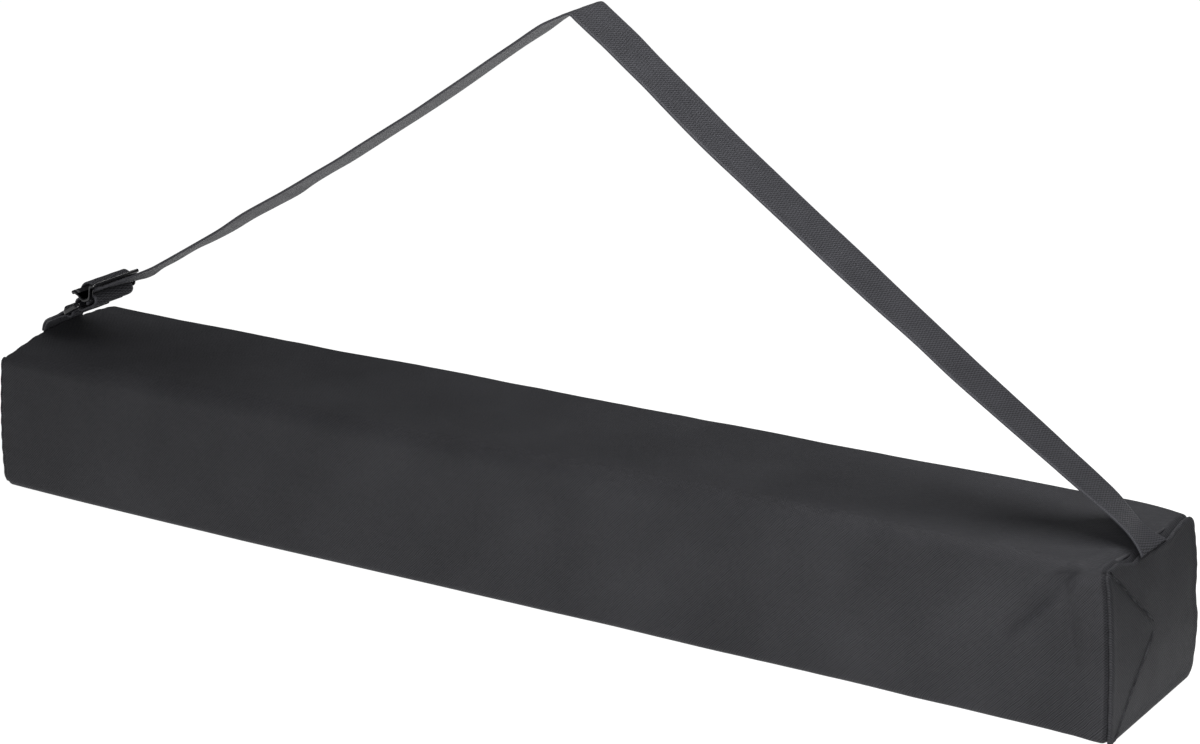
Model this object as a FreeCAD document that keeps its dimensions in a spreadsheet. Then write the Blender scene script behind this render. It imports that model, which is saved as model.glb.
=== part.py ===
import FreeCAD, Part
import math
import os
import Sketcher
from FreeCAD import Placement, Rotation, Vector

# A long square carry bag of coated oxford cloth with an adjustable webbing shoulder strap.
# X runs along the bag, with the strap's sewn end at +X and its adjuster at -X. The zip is on the
# back, towards +Y. Z is up, and the bag rests on Z = 0. Millimetres and degrees.

doc = FreeCAD.newDocument("carry_bag")

DIMENSIONS = [
    ("bag_length", 820, "end panel to end panel"),
    ("bag_depth", 114, "front face to back face"),
    ("bag_height", 100, "floor to top"),
    ("bag_shift", -2.85, "the bag's middle along Y, so that bag and zip bail are centred together"),
    ("edge_radius", 10, "the wrap's long folded edges"),
    ("cloth", 1.2, "oxford cloth with its coating, drawn stout"),
    ("binding_width", 10, "seam binding, along X"),
    ("binding_wall", 1.6, "seam binding over two raw edges"),
    ("zip_opening", 780, "length of the slot in the back"),
    ("zip_gap", 14, "height of the slot in the back"),
    ("tape_length", 790, "zip tape"),
    ("tape_width", 15.5, "one tape, coil edge to sewn edge"),
    ("tape_wall", 0.8, "zip tape"),
    ("coil_split", 1.0, "clear width between the two coils, where the slider's post runs"),
    ("coil_width", 2.4, "one coil"),
    ("coil_wall", 1.8, "coil thickness off the tape"),
    ("coil_length", 771, "coil between its stops"),
    ("stop_length", 3, "zip stop along X"),
    ("stop_rise", 2.4, "zip stop thickness off the tape"),
    ("thread", 0.5, "topstitching thread"),
    ("topstitch_inset", 3, "topstitching back from the slot's edge"),
    ("slider_length", 11, "zip slider along X"),
    ("slider_clear", 0.5, "closed slider to its stop"),
    ("bail_width", 2, "zip slider's bail along Z"),
    ("pull_length", 26, "eye to tip"),
    ("pull_width", 8, "zip pull"),
    ("pull_wall", 1.4, "zip pull"),
    ("pull_eye_rise", 3.6, "pull's eye bar off the back face"),
    ("webbing_width", 38, "strap and tab"),
    ("webbing_wall", 1.4, "strap and tab"),
    ("apex_x", 37, "crown of the raised strap"),
    ("apex_z", 363.5, "crown of the raised strap"),
    ("leg_angle", 28, "left leg above the horizontal, which is the adjuster's slide"),
    ("leg_x", -358, "where the strap crosses the adjuster's middle bar"),
    ("leg_z", 137.3, "where the strap crosses the adjuster's middle bar"),
    ("adjuster_pitch", 20.5, "slide adjuster above the horizontal"),
    ("adjuster_along", 0.5, "adjuster's middle along the leg"),
    ("adjuster_out", 3.85, "adjuster's outer bars above the strap's middle"),
    ("adjuster_length", 23, "slide adjuster along the strap"),
    ("adjuster_width", 47, "slide adjuster across the strap"),
    ("adjuster_wall", 2.6, "slide adjuster's rails"),
    ("adjuster_drop", 7.65, "middle bar below the outer bars"),
    ("bar_radius", 1.3, "adjuster's middle bar"),
    ("window_width", 39, "clear width inside the adjuster and the ring"),
    ("window_length", 16.2, "clear length inside the adjuster"),
    ("bight_radius", 4, "strap's turn round the ring, to its middle"),
    ("bight_reach", 11.5, "adjuster's middle to the ring's upper bar, along the strap"),
    ("ring_pitch", 13, "ring, middle of bar to middle of bar"),
    ("ring_angle", 30, "ring above the horizontal"),
    ("ring_wire", 4, "ring, across a bar"),
    ("ring_soften", 1.2, "rounding of the ring's edges"),
    ("tab_angle", 27, "tab above the horizontal"),
    ("tab_hole", 2.7, "radius inside the tab's loop"),
    ("tab_tail", 22, "tab's loop, ring bar to cut"),
    ("fold_tail", 5, "strap's folded end, middle bar to cut"),
    ("bartack_width", 30, "bartack across the webbing"),
    ("bartack_length", 2, "bartack along the webbing"),
    ("bartack_rise", 0.5, "bartack off the webbing"),
]

sheet = doc.addObject("Spreadsheet::Sheet", "Sizes")
for row, (alias, value, note) in enumerate(DIMENSIONS, start=1):
    sheet.set(f"A{row}", note)
    sheet.set(f"B{row}", str(value))
    sheet.setAlias(f"B{row}", alias)
doc.recompute()

size = {alias: value for alias, value, note in DIMENSIONS}
nodes = []


def expression(text):
    """Puts the sheet's name before each of its aliases in a formula."""
    words = text.replace("(", "( ").replace(")", " )").split()
    return " ".join("Sizes." + word if word in size else word for word in words)


def number(text):
    """The value of a formula of the sheet's aliases."""
    return float(sheet.evalExpression(expression(text)))


def bind(thing, **formulas):
    """Binds each property of thing to a formula. A name such as at_x is the placement's."""
    for key, text in formulas.items():
        target = "Placement.Base." + key[-1] if key.startswith("at_") else key
        thing.setExpression(target, expression(text))


def node(thing, label, **formulas):
    """Makes thing the sub-part with this label. It shares the bag's middle along Y."""
    thing.Label = label
    bind(thing, **{"at_y": "bag_shift", **formulas})
    nodes.append(thing)
    return thing


# Sketches and features


def new_body(name):
    return doc.addObject("PartDesign::Body", name + "_body")


def sketch_on(body, role):
    sketch = body.newObject("Sketcher::SketchObject", body.Name + "_sketch")
    plane = next(f for f in body.Origin.OriginFeatures if f.Role == role)
    sketch.AttachmentSupport = (plane, [""])
    sketch.MapMode = "FlatFace"
    return sketch


def pad(body, sketch, length):
    """A pad that goes half its length to each side of its sketch."""
    feature = body.newObject("PartDesign::Pad", body.Name + "_pad")
    feature.Profile = sketch
    feature.SideType = "Symmetric"
    bind(feature, Length=length)
    return feature


def pocket_through(body, sketch):
    feature = body.newObject("PartDesign::Pocket", body.Name + "_pocket")
    feature.Profile = sketch
    feature.SideType = "Symmetric"
    feature.Type = "ThroughAll"
    return feature


def rounded_rectangle(sketch, name, width, height, radius, middle=("0", "0")):
    """A closed rounded rectangle, constrained to formulas, about the middle."""
    half_w = f"( {width} ) / 2 - ( {radius} )"
    half_h = f"( {height} ) / 2 - ( {radius} )"
    right = f"( {middle[0]} ) + {half_w}"
    left = f"( {middle[0]} ) - ( {half_w} )"
    top = f"( {middle[1]} ) + {half_h}"
    bottom = f"( {middle[1]} ) - ( {half_h} )"
    corners = [(right, bottom), (right, top), (left, top), (left, bottom)]
    r = number(radius)
    centres = [Vector(number(h), number(v), 0) for h, v in corners]
    first = sketch.GeometryCount
    for i, centre in enumerate(centres):
        start = math.radians(90 * i - 90)
        circle = Part.Circle(centre, Vector(0, 0, 1), r)
        sketch.addGeometry(Part.ArcOfCircle(circle, start, start + math.pi / 2), False)
        following = centres[(i + 1) % 4]
        out = Vector(math.cos(start + math.pi / 2), math.sin(start + math.pi / 2), 0) * r
        sketch.addGeometry(Part.LineSegment(centre + out, following + out), False)
    arcs = [first + 2 * i for i in range(4)]
    lines = [first + 2 * i + 1 for i in range(4)]
    for i in range(4):
        sketch.addConstraint(Sketcher.Constraint("Tangent", arcs[i], 2, lines[i], 1))
        sketch.addConstraint(Sketcher.Constraint("Tangent", lines[i], 2, arcs[(i + 1) % 4], 1))
        sketch.addConstraint(Sketcher.Constraint("Vertical" if i % 2 == 0 else "Horizontal", lines[i]))
    for arc in arcs[1:]:
        sketch.addConstraint(Sketcher.Constraint("Equal", arcs[0], arc))
    driven = [
        ("radius", Sketcher.Constraint("Radius", arcs[0], r), radius),
        ("right", Sketcher.Constraint("DistanceX", -1, 1, arcs[1], 3, centres[1].x), right),
        ("top", Sketcher.Constraint("DistanceY", -1, 1, arcs[1], 3, centres[1].y), top),
        ("left", Sketcher.Constraint("DistanceX", -1, 1, arcs[3], 3, centres[3].x), left),
        ("bottom", Sketcher.Constraint("DistanceY", -1, 1, arcs[3], 3, centres[3].y), bottom),
    ]
    for key, constraint, formula in driven:
        index = sketch.addConstraint(constraint)
        sketch.renameConstraint(index, f"{name}_{key}")
        sketch.setExpression(f"Constraints.{name}_{key}", expression(formula))


def polygon(sketch, points):
    """A closed outline through these (across, up) points."""
    corners = [Vector(a, b, 0) for a, b in points]
    for start, end in zip(corners, corners[1:] + corners[:1]):
        sketch.addGeometry(Part.LineSegment(start, end), False)


def band(sketch, path, radii, wall):
    """A strip of this wall along a path of straight runs, joined by arcs of these radii."""
    points = [Vector(a, b, 0) for a, b in path]
    runs = [(b - a).normalize() for a, b in zip(points, points[1:])]
    lefts = [Vector(-run.y, run.x, 0) for run in runs]
    ends = []
    for offset in (wall / 2, -wall / 2):
        at = points[0] + lefts[0] * offset
        first = at
        for i, radius in enumerate(radii):
            turn = math.atan2(runs[i].cross(runs[i + 1]).z, runs[i].dot(runs[i + 1]))
            side = math.copysign(1, turn)
            cut = radius * math.tan(abs(turn) / 2)
            centre = points[i + 1] - runs[i] * cut + lefts[i] * (side * radius)
            arc_radius = radius - side * offset
            start = centre - lefts[i] * (side * arc_radius)
            middle = centre - (lefts[i] + lefts[i + 1]).normalize() * (side * arc_radius)
            end = centre - lefts[i + 1] * (side * arc_radius)
            if (start - at).Length > 1e-6:
                sketch.addGeometry(Part.LineSegment(at, start), False)
            sketch.addGeometry(Part.ArcOfCircle(start, middle, end), False)
            at = end
        last = points[-1] + lefts[-1] * offset
        sketch.addGeometry(Part.LineSegment(at, last), False)
        ends.append((first, last))
    sketch.addGeometry(Part.LineSegment(ends[0][0], ends[1][0]), False)
    sketch.addGeometry(Part.LineSegment(ends[0][1], ends[1][1]), False)


def webbing(label, path, radii):
    """A length of webbing that follows a path in XZ, with its width along Y."""
    body = new_body(label)
    sketch = sketch_on(body, "XZ_Plane")
    band(sketch, path, radii, size["webbing_wall"])
    pad(body, sketch, "webbing_width")
    return node(body, label)


def block(name, length, width, height, x, y, z):
    """A box with its low corner at x, y, z, all of them formulas."""
    box = doc.addObject("Part::Box", name)
    bind(box, Length=length, Width=width, Height=height, at_x=x, at_y=y, at_z=z)
    return box


def upright(feature, angle):
    """Turns a part drawn flat along X so that it climbs by this angle towards +X."""
    feature.Placement = Placement(feature.Placement.Base, Rotation(Vector(0, 1, 0), -angle))


# The cloth bag


def make_wrap():
    """One cloth panel round the front, bottom, top and back, with a slot for the zip."""
    body = new_body("body_wrap")
    section = sketch_on(body, "YZ_Plane")
    middle = ("0", "bag_height / 2")
    rounded_rectangle(section, "outer", "bag_depth", "bag_height", "edge_radius", middle)
    inner = ("bag_depth - 2 * cloth", "bag_height - 2 * cloth", "edge_radius - cloth")
    rounded_rectangle(section, "inner", *inner, middle)
    pad(body, section, "bag_length - 2 * cloth")
    slot = sketch_on(body, "XZ_Plane")
    rounded_rectangle(slot, "slot", "zip_opening", "zip_gap", "cloth", middle)
    cut = body.newObject("PartDesign::Pocket", "zip_slot")
    cut.Profile = slot
    bind(cut, Length="bag_depth")
    node(body, "body_wrap")


def make_end(side, sign):
    """An end panel, and the binding round its seam inside the bag."""
    middle = ("0", "bag_height / 2")
    panel = new_body("end_panel_" + side)
    outline = sketch_on(panel, "YZ_Plane")
    rounded_rectangle(outline, "panel", "bag_depth", "bag_height", "edge_radius", middle)
    pad(panel, outline, "cloth")
    node(panel, "end_panel_" + side, at_x=f"{sign} * ( bag_length - cloth ) / 2")
    binding = new_body("seam_binding_" + side)
    outline = sketch_on(binding, "YZ_Plane")
    outer = ("bag_depth - 2 * cloth", "bag_height - 2 * cloth", "edge_radius - cloth")
    rounded_rectangle(outline, "outer", *outer, middle)
    inner = tuple(f"{a} - {b} * binding_wall" for a, b in zip(outer, (2, 2, 1)))
    rounded_rectangle(outline, "inner", *inner, middle)
    pad(binding, outline, "binding_width")
    x = f"{sign} * ( bag_length / 2 - cloth - binding_width / 2 )"
    node(binding, "seam_binding_" + side, at_x=x)


# The zip. Its parts are placed from the outer side of the back, at mid height.

BACK = "bag_shift + bag_depth / 2"
TAPE_FACE = BACK + " - cloth"


def make_tape(half, sign):
    """One tape inside the back, its coil on the outer side and its row of topstitching."""
    low = "0" if sign > 0 else "1"

    def lowest(inner_edge, width):
        """The low Z of a strip whose inner edge is this far from the zip's middle."""
        return f"bag_height / 2 + {sign} * ( {inner_edge} ) - {low} * ( {width} )"

    x = "( 0 - tape_length ) / 2"
    y = TAPE_FACE + " - tape_wall"
    z = lowest("coil_split / 2", "tape_width")
    tape = block("zip_tape_" + half, "tape_length", "tape_wall", "tape_width", x, y, z)
    node(tape, "zip_tape_" + half, at_y=y)
    x = "( 0 - coil_length ) / 2"
    z = lowest("coil_split / 2", "coil_width")
    coil = block("zip_coil_" + half, "coil_length", "coil_wall", "coil_width", x, TAPE_FACE, z)
    node(coil, "zip_coil_" + half, at_y=TAPE_FACE)
    x = "( 0 - zip_opening ) / 2"
    z = lowest("zip_gap / 2 + topstitch_inset", "thread")
    row = block("zip_topstitch_" + half, "zip_opening", "thread", "thread", x, BACK, z)
    node(row, "zip_topstitch_" + half, at_y=BACK)


def make_stops():
    """A pair of stops where the slider closes, and one stop across both coils at the other end."""
    wide = "coil_width + thread"
    pair = []
    for name, z in (
        ("upper", "bag_height / 2 + coil_split / 2"),
        ("lower", "bag_height / 2 - coil_split / 2 - coil_width - thread"),
    ):
        name = f"zip_top_stop_{name}"
        x = "coil_length / 2"
        pair.append(block(name, "stop_length", "stop_rise", wide, x, TAPE_FACE, z))
    group = doc.addObject("Part::Compound", "zip_top_stop_pair")
    group.Links = pair
    node(group, "zip_top_stops", at_y="0")
    across = "coil_split + 2 * ( coil_width + thread )"
    x = "0 - coil_length / 2 - stop_length"
    z = f"bag_height / 2 - ( {across} ) / 2"
    stop = block("zip_bottom_stop", "stop_length", "stop_rise", across, x, TAPE_FACE, z)
    node(stop, "zip_bottom_stop", at_y=TAPE_FACE)


SLIDER_X = "coil_length / 2 - slider_clear - slider_length / 2"
SLIDER_PLACE = {"at_x": SLIDER_X, "at_y": BACK, "at_z": "bag_height / 2"}

# The slider's section, from the back's outer face: distance out and half height.
PLATE_TOP = 2.3
PLATE_UNDER = 0.9
PLATE_HALF = 5.2
FLANGE_TIP = -0.8
FLANGE_INNER = 3.3
POST_HALF = 0.25
KEEL_TOP = -2.4
KEEL_UNDER = -3.8
KEEL_HALF = 4.6

# The bail: half length outside and inside, and how far out its top is.
BAIL_OUTER = 4.0
BAIL_INNER = 3.0
BAIL_TOP = 5.7
BAIL_CEILING = 4.9


def make_slider():
    """Outer plate with two flanges, post between the coils, inner plate, and a bail on top."""
    body = new_body("zip_slider")
    section = sketch_on(body, "YZ_Plane")
    half = [
        (PLATE_TOP, PLATE_HALF),
        (FLANGE_TIP, PLATE_HALF),
        (FLANGE_TIP, FLANGE_INNER),
        (PLATE_UNDER, FLANGE_INNER),
        (PLATE_UNDER, POST_HALF),
        (KEEL_TOP, POST_HALF),
        (KEEL_TOP, KEEL_HALF),
        (KEEL_UNDER, KEEL_HALF),
    ]
    polygon(section, half + [(out, -up) for out, up in reversed(half)])
    pad(body, section, "slider_length")
    arch = sketch_on(body, "XY_Plane")
    leg = [
        (BAIL_OUTER, PLATE_TOP),
        (BAIL_OUTER, BAIL_TOP),
        (-BAIL_OUTER, BAIL_TOP),
        (-BAIL_OUTER, PLATE_TOP),
        (-BAIL_INNER, PLATE_TOP),
        (-BAIL_INNER, BAIL_CEILING),
        (BAIL_INNER, BAIL_CEILING),
        (BAIL_INNER, PLATE_TOP),
    ]
    polygon(arch, leg)
    pad(body, arch, "bail_width")
    node(body, "zip_slider", **SLIDER_PLACE)


PULL_WINDOW_REACH = 4.9
PULL_WINDOW_HALF = 1.5


def make_pull():
    """A flat tab. Its eye bar is on the hinge axis, and its window goes round the bail."""
    body = new_body("zip_pull")
    outline = sketch_on(body, "XZ_Plane")
    whole = "pull_length + pull_wall / 2"
    middle = (f"pull_wall / 2 - ( {whole} ) / 2", "0")
    rounded_rectangle(outline, "tab", whole, "pull_width", "0.4 * pull_wall", middle)
    pad(body, outline, "pull_wall")
    window = sketch_on(body, "XZ_Plane")
    eye = size["pull_wall"] / 2
    polygon(
        window,
        [
            (-eye, PULL_WINDOW_HALF),
            (-PULL_WINDOW_REACH, PULL_WINDOW_HALF),
            (-PULL_WINDOW_REACH, -PULL_WINDOW_HALF),
            (-eye, -PULL_WINDOW_HALF),
        ],
    )
    pocket_through(body, window)
    place = dict(SLIDER_PLACE, at_y=BACK + " + pull_eye_rise")
    node(body, "zip_pull", **place)


# The strap. Its left leg is straight where the adjuster slides, and is measured from where it
# crosses the adjuster's middle bar: along the leg, and out from it towards the sky.

LEG = math.radians(size["leg_angle"])


def on_leg(along, out):
    """The (X, Z) place of a point given along and out from the straight leg."""
    x = size["leg_x"] + along * math.cos(LEG) - out * math.sin(LEG)
    z = size["leg_z"] + along * math.sin(LEG) + out * math.cos(LEG)
    return x, z


def from_leg(place):
    """How far along the straight leg, and out from it, an (X, Z) place is."""
    x = place[0] - size["leg_x"]
    z = place[1] - size["leg_z"]
    return x * math.cos(LEG) + z * math.sin(LEG), z * math.cos(LEG) - x * math.sin(LEG)


def from_bar(bar, distance, angle):
    """The (X, Z) place at this distance and angle above the horizontal from a bar."""
    turn = math.radians(angle)
    return bar[0] + distance * math.cos(turn), bar[1] + distance * math.sin(turn)


REACH = size["bight_reach"]
BIGHT = size["bight_radius"]
RING_BAR = on_leg(-REACH, -BIGHT)
TAB_BAR = from_bar(RING_BAR, -size["ring_pitch"], size["ring_angle"])
ADJUSTER = on_leg(size["adjuster_along"], size["adjuster_out"])
MIDDLE_BAR = from_bar(ADJUSTER, -size["adjuster_drop"], 90 + size["adjuster_pitch"])
HALF_LENGTH = size["bag_length"] / 2
TOP = size["bag_height"]
ON_TOP = TOP + size["webbing_wall"] / 2

# Where each sewn end stops short of the panel, and where webbing is cut to leave a joint free.
SEAM_INSET = 0.2
ROOT_REST = 5.5
ROOT_CUT = (378.4, 120.1)
STRAP_CUT = (376.9, 121.1)
TAB_REST = 2
TAB_BEND = (-401.9, 109.45)
TAB_CUT = (-398.85, 111.0)
RETURN_GAP = 0.3

# Points that the raised strap passes, from the right seam to the straight part of its left leg.
RIGHT_LEG = [(311, 165.2), (213, 233.2), (102, 315.2), (57.6, 349.5)]
LEFT_LEG = [(8, 350.8), (-70, 298.6)]
STRAIGHT_LEG = 235
SOFT_BEND = 150
CROWN_BEND = 2.5


def make_strap_root():
    """The strap's sewn end: down on the bag by the right seam, then up with the right leg."""
    rest = (HALF_LENGTH - ROOT_REST, ON_TOP)
    webbing("strap_root", [(HALF_LENGTH - SEAM_INSET, ON_TOP), rest, ROOT_CUT], [6])


def make_strap():
    """Right leg, crown, left leg and the turn round the ring's upper bar."""
    path = [STRAP_CUT, *RIGHT_LEG, (size["apex_x"], size["apex_z"]), *LEFT_LEG]
    path += [
        on_leg(STRAIGHT_LEG, 0),
        on_leg(-REACH - BIGHT, 0),
        on_leg(-REACH - BIGHT, -2 * BIGHT),
        on_leg(-REACH + 2 * RETURN_GAP, -2 * BIGHT),
    ]
    bends = [SOFT_BEND] * len(RIGHT_LEG) + [CROWN_BEND] + [SOFT_BEND] * (len(LEFT_LEG) + 1)
    webbing("strap_webbing", path, bends + [BIGHT, BIGHT])


def make_return():
    """The strap's end after the ring, on its way up to the adjuster's middle bar."""
    bar_along, bar_out = from_leg(MIDDLE_BAR)
    layer = bar_out - size["webbing_wall"] / 2
    end = bar_along - size["fold_tail"] - RETURN_GAP
    path = [
        on_leg(-REACH + 3 * RETURN_GAP, -2 * BIGHT),
        on_leg(end - 3.6, -2 * BIGHT),
        on_leg(end - 1, layer),
        on_leg(end, layer),
    ]
    webbing("strap_return", path, [1.5, 1.5])


def make_loop(label, hole, tail, place, angle):
    """Webbing folded round a bar, with its two layers together in a tail towards -X."""
    outer = doc.addObject("Part::Cylinder", label + "_outer")
    bind(outer, Radius=f"{hole} + webbing_wall", Height="webbing_width")
    layers = block(label + "_tail", tail, "webbing_width", "2 * webbing_wall", "0", "0", "0")
    bind(layers, at_x=f"0 - {tail}", at_y="( 0 - webbing_width ) / 2", at_z="0 - webbing_wall")
    bar = doc.addObject("Part::Cylinder", label + "_hole")
    bind(bar, Radius=hole, Height="webbing_width")
    across = Rotation(Vector(1, 0, 0), 90)
    for cylinder in (outer, bar):
        cylinder.Placement = Placement(Vector(0, size["webbing_width"] / 2, 0), across)
        bind(cylinder, at_y="webbing_width / 2")
    whole = doc.addObject("Part::MultiFuse", label + "_layers")
    whole.Shapes = [outer, layers]
    loop = doc.addObject("Part::Cut", label + "_loop")
    loop.Base = whole
    loop.Tool = bar
    loop.Placement = Placement(Vector(place[0], 0, place[1]), Rotation(Vector(0, 1, 0), -angle))
    node(loop, label)


def make_bartack(label, along, out, place, angle):
    """A row of dense stitches across the webbing, at this distance along and out from a bar."""
    tack = doc.addObject("Part::Box", label)
    bind(tack, Length="bartack_length", Width="bartack_width", Height="bartack_rise")
    turn = Rotation(Vector(0, 1, 0), -angle)
    offset = turn.multVec(Vector(along, 0, out))
    tack.Placement = Placement(Vector(place[0] + offset.x, 0, place[1] + offset.z), turn)
    node(tack, label, at_y="bag_shift - bartack_width / 2")


def make_tab():
    """The tab's foot on the bag, its loop round the ring, and the bartack that closes it."""
    angle = size["tab_angle"]
    body = new_body("tab_root")
    sketch = sketch_on(body, "XZ_Plane")
    layers = 2 * size["webbing_wall"]
    foot = TOP + layers / 2
    path = [(SEAM_INSET - HALF_LENGTH, foot), (TAB_REST - HALF_LENGTH, foot), TAB_BEND, TAB_CUT]
    band(sketch, path, [2, 3], layers)
    pad(body, sketch, "webbing_width")
    node(body, "tab_root")
    make_loop("tab_loop", "tab_hole", "tab_tail", TAB_BAR, angle)
    along = -size["tab_hole"] - size["webbing_wall"] - 2 * size["bartack_length"]
    make_bartack("tab_bartack", along, size["webbing_wall"], TAB_BAR, angle)


def make_ring():
    """A rectangular loop that joins the tab and the strap."""
    body = new_body("strap_ring")
    outline = sketch_on(body, "XY_Plane")
    long_side = "ring_pitch + ring_wire"
    wide_side = "window_width + 2 * ring_wire"
    rounded_rectangle(outline, "outer", long_side, wide_side, "ring_wire")
    rounded_rectangle(outline, "inner", "ring_pitch - ring_wire", "window_width", "ring_wire / 4")
    blank = pad(body, outline, "ring_wire")
    soft = body.newObject("PartDesign::Fillet", "ring_rounding")
    doc.recompute()
    edges = [f"Edge{i + 1}" for i in range(len(blank.Shape.Edges))]
    level = [
        name
        for name, edge in zip(edges, blank.Shape.Edges)
        if abs(edge.BoundBox.ZLength) < 1e-6
    ]
    soft.Base = (blank, level)
    bind(soft, Radius="ring_soften")
    middle = Vector((RING_BAR[0] + TAB_BAR[0]) / 2, 0, (RING_BAR[1] + TAB_BAR[1]) / 2)
    body.Placement = Placement(middle, Rotation(Vector(0, 1, 0), -size["ring_angle"]))
    node(body, "strap_ring")


# The adjuster's side rails: where they leave the outer bars, and where they reach the middle bar.
SHOULDER = 7.2
FOOT = 2.6


def make_adjuster():
    """A moulded slide: two outer bars over the strap and a set-down middle bar under it."""
    body = new_body("slide_adjuster")
    profile = sketch_on(body, "XZ_Plane")
    end = size["adjuster_length"] / 2
    low = -size["adjuster_drop"]
    path = [(-end, 0), (-SHOULDER, 0), (-FOOT, low), (FOOT, low), (SHOULDER, 0), (end, 0)]
    band(profile, path, [1.8, 2.2, 2.2, 1.8], size["adjuster_wall"])
    pad(body, profile, "adjuster_width")
    window = sketch_on(body, "XY_Plane")
    rounded_rectangle(window, "window", "window_length", "window_width", "bar_radius")
    pocket_through(body, window)
    bar = sketch_on(body, "XZ_Plane")
    centre = Vector(0, -size["adjuster_drop"], 0)
    bar.addGeometry(Part.Circle(centre, Vector(0, 0, 1), size["bar_radius"]), False)
    pad(body, bar, "( window_width + adjuster_width ) / 2")
    place = Vector(ADJUSTER[0], 0, ADJUSTER[1])
    turn = Rotation(Vector(0, 1, 0), -size["adjuster_pitch"])
    body.Placement = Placement(place, turn)
    node(body, "slide_adjuster")


def make_fold():
    """The strap's end, folded round the adjuster's middle bar and closed by a bartack."""
    angle = size["leg_angle"]
    make_loop("end_fold", "bar_radius + 0.05", "fold_tail", MIDDLE_BAR, angle)
    along = size["bartack_rise"] - size["fold_tail"]
    out = -size["webbing_wall"] - size["bartack_rise"]
    make_bartack("fold_bartack", along, out, MIDDLE_BAR, angle)


make_wrap()
for side, sign in (("left", -1), ("right", 1)):
    make_end(side, sign)
for half, sign in (("upper", 1), ("lower", -1)):
    make_tape(half, sign)
make_stops()
make_slider()
make_pull()
make_strap_root()
make_strap()
make_return()
make_tab()
make_ring()
make_adjuster()
make_fold()

doc.recompute()

faults = [o.Name for o in doc.Objects if "Invalid" in o.State or "Error" in o.State]
for part in nodes:
    if part.Shape.isNull() or not part.Shape.isValid() or part.Shape.Volume < 1e-3:
        faults.append(part.Label)
if faults:
    raise RuntimeError("failed objects: " + ", ".join(faults))

os.makedirs("parts", exist_ok=True)
box = FreeCAD.BoundBox()
for part in nodes:
    part.Shape.exportStep(f"parts/{part.Label}.step")
    box.add(part.Shape.BoundBox)
    print(f"{part.Label}: {len(part.Shape.Solids)} solid, {part.Shape.Volume:.0f} mm3")
low_corner = f"{box.XMin:.2f} {box.YMin:.2f} {box.ZMin:.2f}"
high_corner = f"{box.XMax:.2f} {box.YMax:.2f} {box.ZMax:.2f}"
print(f"whole: {low_corner} to {high_corner}")
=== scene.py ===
import math

import bmesh
import bpy
import numpy as np
from mathutils import Matrix, Vector, noise


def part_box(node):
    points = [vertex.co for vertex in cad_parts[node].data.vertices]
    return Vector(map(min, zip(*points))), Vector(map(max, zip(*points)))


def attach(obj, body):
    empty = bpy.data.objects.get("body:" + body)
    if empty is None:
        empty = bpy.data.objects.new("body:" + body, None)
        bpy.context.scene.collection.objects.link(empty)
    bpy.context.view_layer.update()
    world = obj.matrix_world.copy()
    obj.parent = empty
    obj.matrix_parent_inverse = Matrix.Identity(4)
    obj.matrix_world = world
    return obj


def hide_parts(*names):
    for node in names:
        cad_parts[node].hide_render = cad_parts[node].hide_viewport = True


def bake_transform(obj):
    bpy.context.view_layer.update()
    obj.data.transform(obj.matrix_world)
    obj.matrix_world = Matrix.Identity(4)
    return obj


# A long square carry bag of coated oxford cloth with an adjustable shoulder strap.
# Metres. X runs along the bag, the zip is on the +Y side, and the floor is at Z = 0.

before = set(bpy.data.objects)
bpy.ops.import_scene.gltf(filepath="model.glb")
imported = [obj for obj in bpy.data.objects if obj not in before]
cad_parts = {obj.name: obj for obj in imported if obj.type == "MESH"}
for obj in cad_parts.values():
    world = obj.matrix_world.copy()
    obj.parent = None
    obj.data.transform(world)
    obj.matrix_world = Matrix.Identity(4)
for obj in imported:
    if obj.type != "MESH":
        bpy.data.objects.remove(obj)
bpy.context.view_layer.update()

MM = 0.001


# Finishes


def linear(hex_colour):
    """A colour written as sRGB hex, as the shader wants it."""
    parts = [int(hex_colour[i : i + 2], 16) / 255 for i in (1, 3, 5)]
    curved = [p / 12.92 if p <= 0.04045 else ((p + 0.055) / 1.055) ** 2.4 for p in parts]
    return (*curved, 1.0)


def add(tree, kind, sockets=None, **settings):
    """Adds a node. A socket's value is a number, a colour, or another node's output."""
    made = tree.nodes.new(kind)
    for key, value in settings.items():
        setattr(made, key, value)
    for name, value in (sockets or {}).items():
        if isinstance(value, bpy.types.NodeSocket):
            tree.links.new(value, made.inputs[name])
        else:
            made.inputs[name].default_value = value
    return made


def finish_of(name, **shader_values):
    """A new material with its Principled shader, and its tree."""
    material = bpy.data.materials.new(name)
    material.use_nodes = True
    tree = material.node_tree
    shader = tree.nodes["Principled BSDF"]
    for key, value in shader_values.items():
        shader.inputs[key.replace("_", " ")].default_value = value
    return material, tree, shader


def cloth_places(tree):
    """Across and along the cloth in metres, from the cut pattern laid flat, and both as one place."""
    pattern = add(tree, "ShaderNodeUVMap", uv_map="cut").outputs[0]
    parts = add(tree, "ShaderNodeSeparateXYZ", {0: pattern}).outputs
    return parts[0], parts[1], pattern


def ripple(tree, place, pitch):
    """A wave from -1 to 1 with this pitch in metres."""
    turns = add(tree, "ShaderNodeMath", {0: place, 1: 2 * math.pi / pitch}, operation="MULTIPLY")
    return add(tree, "ShaderNodeMath", {0: turns.outputs[0]}, operation="SINE").outputs[0]


def blotches(tree, place, size, detail=3.0):
    """Soft cloudy variation from 0 to 1, with patches of this size in metres."""
    cloud = add(tree, "ShaderNodeTexNoise", {"Vector": place, "Scale": 1 / size, "Detail": detail})
    return cloud.outputs["Fac"]


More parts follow.
